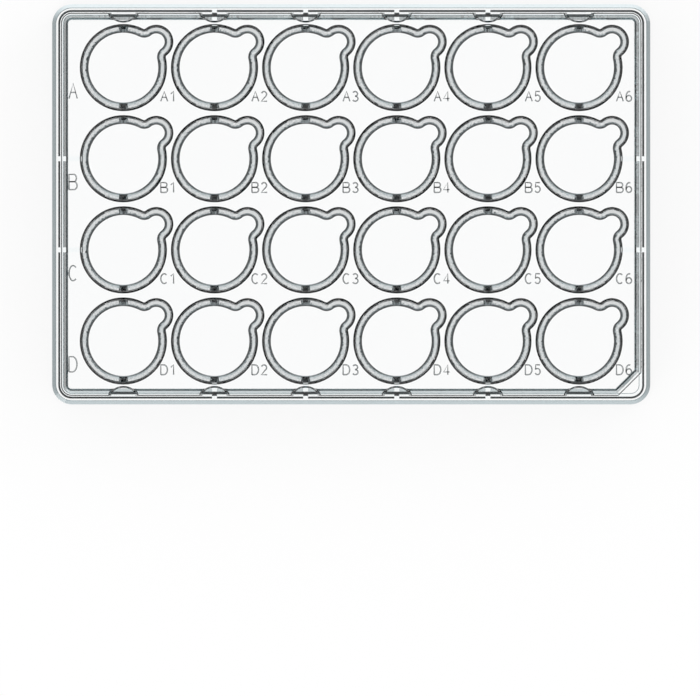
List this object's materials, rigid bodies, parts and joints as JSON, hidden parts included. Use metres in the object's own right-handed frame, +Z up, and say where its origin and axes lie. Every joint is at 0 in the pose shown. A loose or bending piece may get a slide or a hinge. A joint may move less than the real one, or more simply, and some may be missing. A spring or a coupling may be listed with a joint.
{
  "type": "well plate",
  "caption": "Clear moulded culture plate with round wells that each have a side port, a keyed lid rim, tab notches and a foot flange.",
  "frame": {"origin": "middle of the footprint, on the plane the plate stands on", "axes": "+X along the columns 1 to 6, +Y from row D towards row A, +Z up out of the wells"},
  "size_m": [0.1278, 0.0854, 0.0202],
  "materials": {
    "clear_polystyrene": "crystal-clear moulded polystyrene, polished"
  },
  "bodies": {
    "root": {"well_plate": "clear_polystyrene"}
  },
  "joints": []
}
